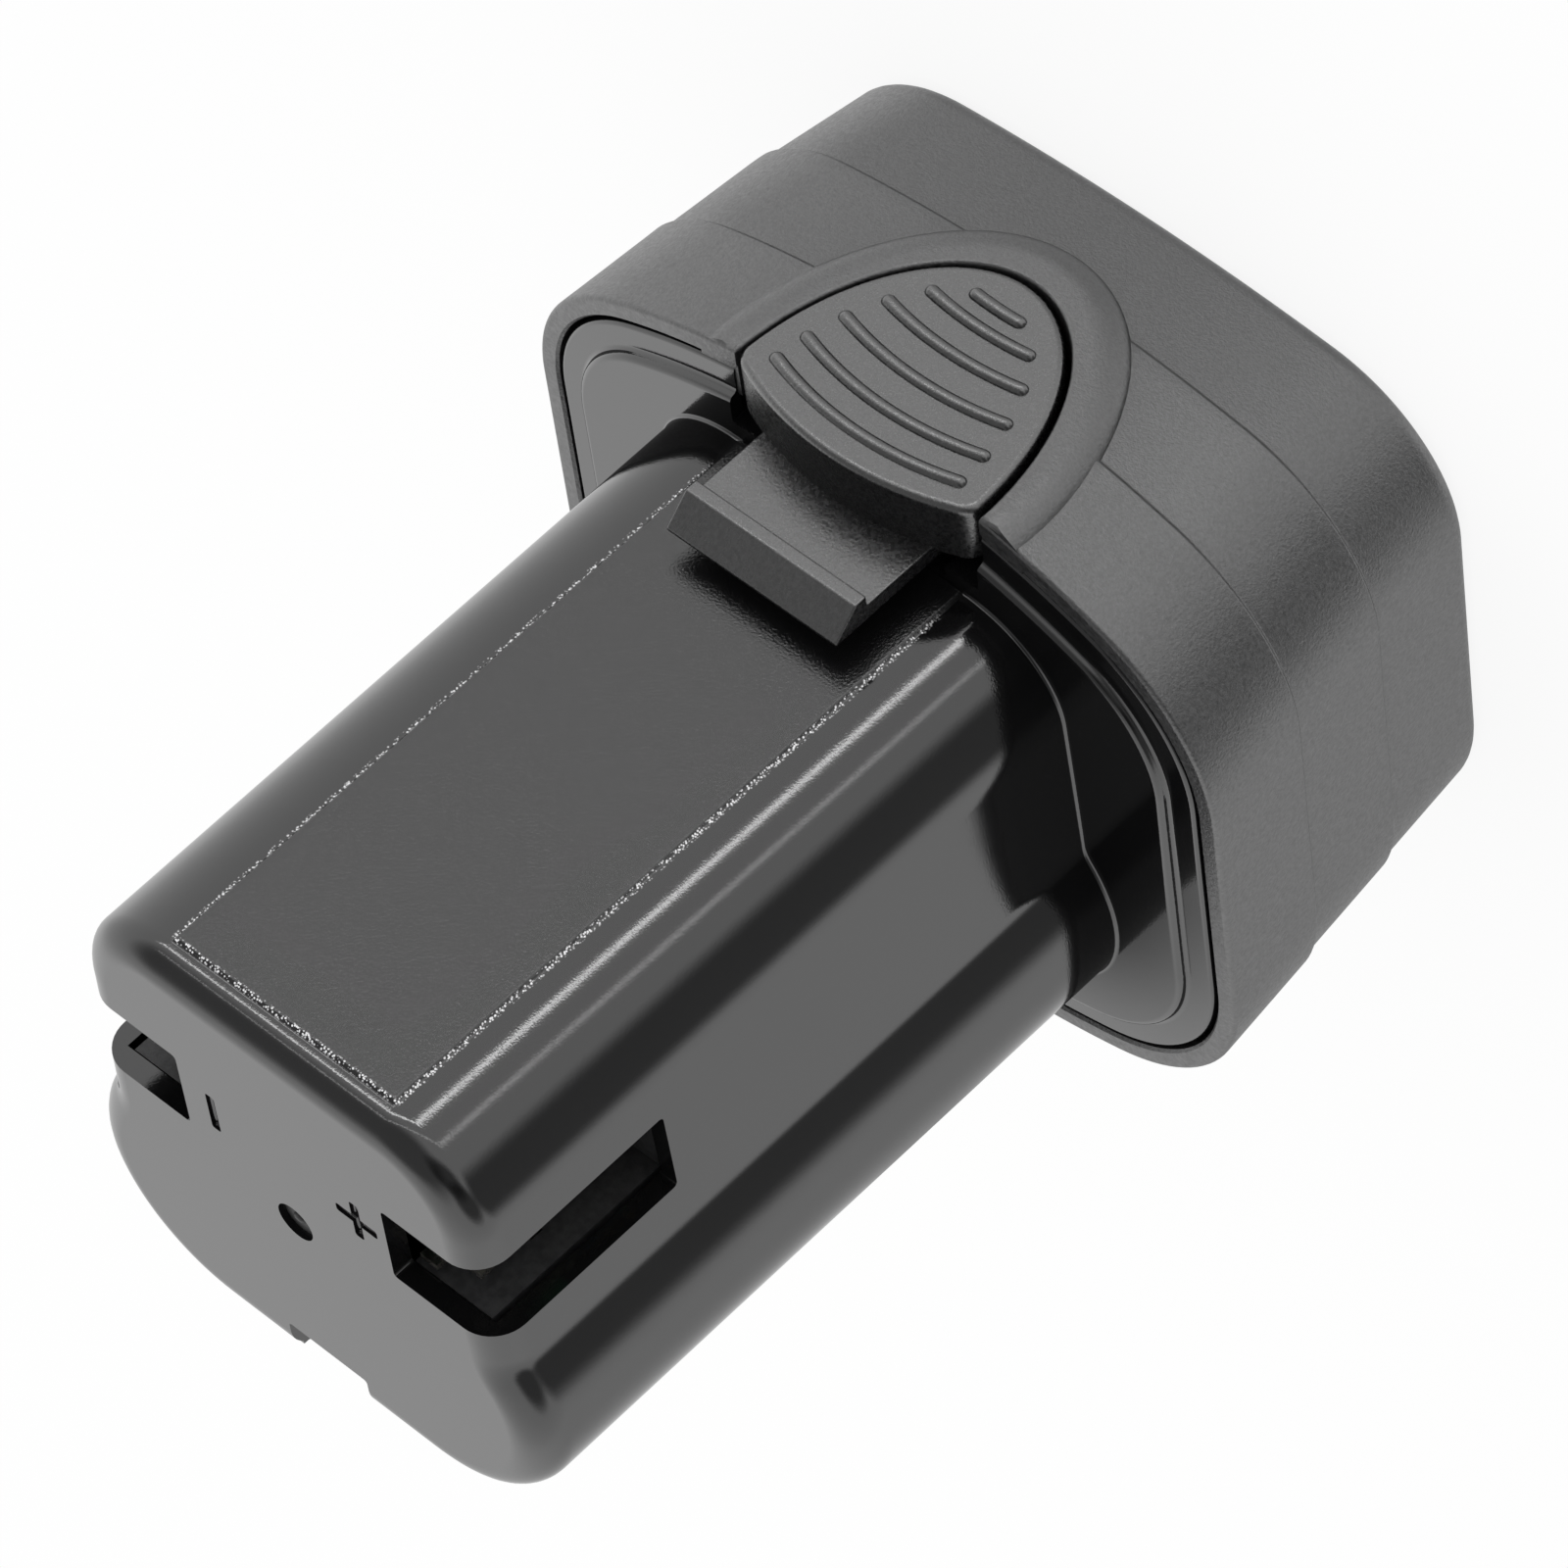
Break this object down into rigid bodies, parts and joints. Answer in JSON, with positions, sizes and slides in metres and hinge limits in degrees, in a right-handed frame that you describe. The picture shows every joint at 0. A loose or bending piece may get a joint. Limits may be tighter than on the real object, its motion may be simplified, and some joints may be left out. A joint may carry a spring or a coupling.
{
  "type": "power tool battery pack",
  "caption": "Slide-in tool battery: stepped base cup, plug stem with contact slots at its tip, sprung thumb button with a latch tooth, round cells and a protection board inside.",
  "frame": {"origin": "middle of the flat underside of the base cup", "axes": "+Z from the base to the tip of the plug stem, -Y to the button side, -X to the side of the plus contact"},
  "size_m": [0.0604, 0.0547, 0.083],
  "materials": {
    "cup_plastic": "fine spark texture, satin",
    "stem_plastic": "polished black",
    "latch_plastic": "fine texture",
    "steel": "zinc plated",
    "cell": "shrink sleeve over a metal can",
    "paper": "insulating paper",
    "holder_plastic": "moulded black",
    "nickel": "nickel strip",
    "foam": "foam",
    "board": "solder mask",
    "chip": "moulded",
    "passive": "ceramic",
    "contact": "nickel plated brass",
    "lead_black": "insulated wire",
    "lead_yellow": "insulated wire"
  },
  "bodies": {
    "pack": {"base_cup": "cup_plastic", "stem_housing": "stem_plastic", "latch_spring": "steel", "cell_front": "cell", "cell_rear_plus": "cell", "cell_rear_minus": "cell", "cell_rings": "paper", "lower_holder": "holder_plastic", "upper_holder": "holder_plastic", "link_top": "nickel", "link_bottom": "nickel", "positive_tab": "nickel", "negative_tab": "nickel", "top_insulator": "paper", "bottom_insulator": "paper", "bottom_foam": "foam", "protection_board": "board", "board_mosfets": "chip", "board_controller": "chip", "board_passives": "passive", "shunt_resistor": "chip", "positive_contact": "contact", "negative_contact": "contact", "negative_lead": "lead_black", "sense_lead": "lead_yellow", "board_screws": "steel", "base_screws": "steel"},
    "latch": {"latch_button": "latch_plastic"}
  },
  "joints": [
    {"name": "latch_press", "type": "slide", "parent": "pack", "child": "latch", "axis": [0, 1, 0], "range_m": [0, 0.0017], "stiffness_N_per_m": 900, "springref_m": -0.0015, "deforming": ["latch_spring"]}
  ]
}
